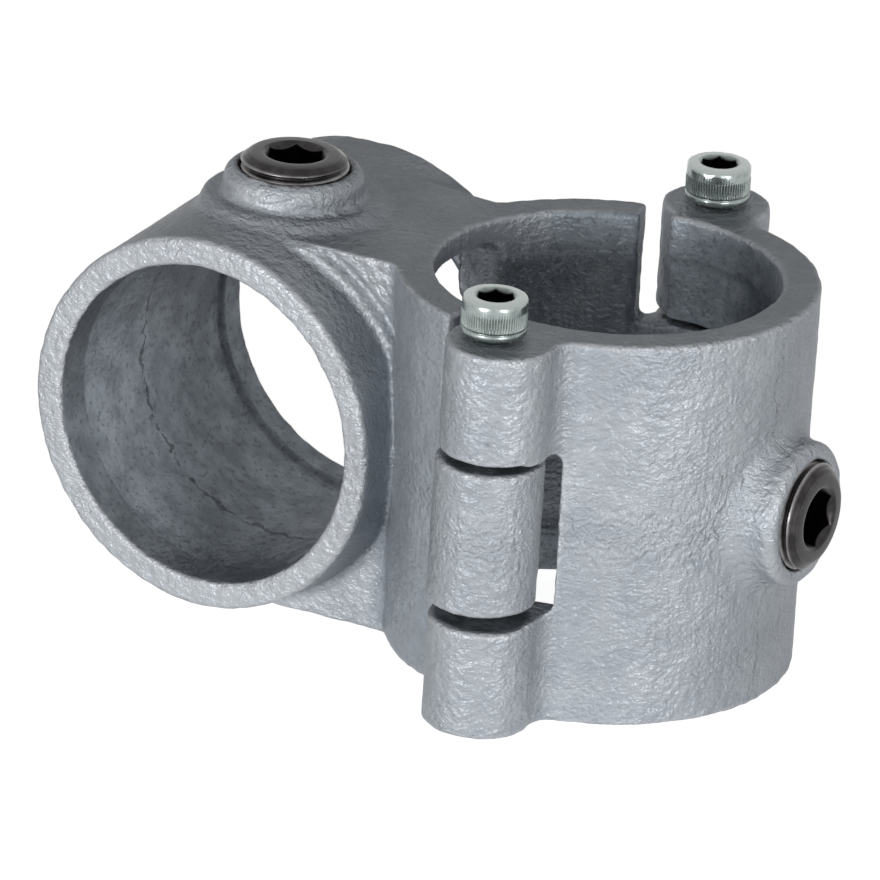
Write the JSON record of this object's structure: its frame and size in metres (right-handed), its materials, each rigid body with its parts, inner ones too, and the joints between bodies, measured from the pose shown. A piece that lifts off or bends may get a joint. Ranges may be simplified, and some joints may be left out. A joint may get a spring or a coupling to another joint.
{
  "type": "hinged cross tube connector",
  "caption": "Crossover tube clamp: a fixed socket for one tube and, square to it, a clamp socket whose hinged half swings open on a screw; a hexagon set screw grips each tube.",
  "frame": {"origin": "on the clamp socket's axis, halfway up the clamp socket", "axes": "+Z along the clamp socket, towards the cap screws' heads; +Y along the fixed socket, from the hinge side to the closing side; +X towards the clamp's set screw"},
  "size_m": [0.1215, 0.0861, 0.0675],
  "materials": {
    "galvanised_iron": "hot-dip galvanised, satin, with a fine cast texture",
    "dark_steel": "dark oiled steel, satin",
    "zinc_steel": "bright zinc plate"
  },
  "bodies": {
    "main": {"main_casting": "galvanised_iron"},
    "crossover_screw": {"crossover_set_screw": "dark_steel"},
    "door": {"hinged_half": "galvanised_iron"},
    "clamp_screw": {"clamp_set_screw": "dark_steel"},
    "hinge_pin": {"hinge_screw": "zinc_steel"},
    "closing_pin": {"closing_screw": "zinc_steel"}
  },
  "joints": [
    {"name": "door_swing", "type": "hinge", "parent": "main", "child": "door", "pos_m": [-0.0007, -0.0345, 0], "axis": [0, 0, -1], "range_deg": [0, 150]},
    {"name": "closing_screw_draw", "type": "slide", "parent": "door", "child": "closing_pin", "axis": [0, 0, 1], "range_m": [0, 0.058]},
    {"name": "hinge_screw_draw", "type": "slide", "parent": "door", "child": "hinge_pin", "axis": [0, 0, 1], "range_m": [0, 0.058]},
    {"name": "clamp_screw_travel", "type": "slide", "parent": "door", "child": "clamp_screw", "axis": [1, 0, 0], "range_m": [-0.001, 0.012]},
    {"name": "crossover_screw_travel", "type": "slide", "parent": "main", "child": "crossover_screw", "axis": [0, 0, 1], "range_m": [-0.001, 0.012]}
  ]
}
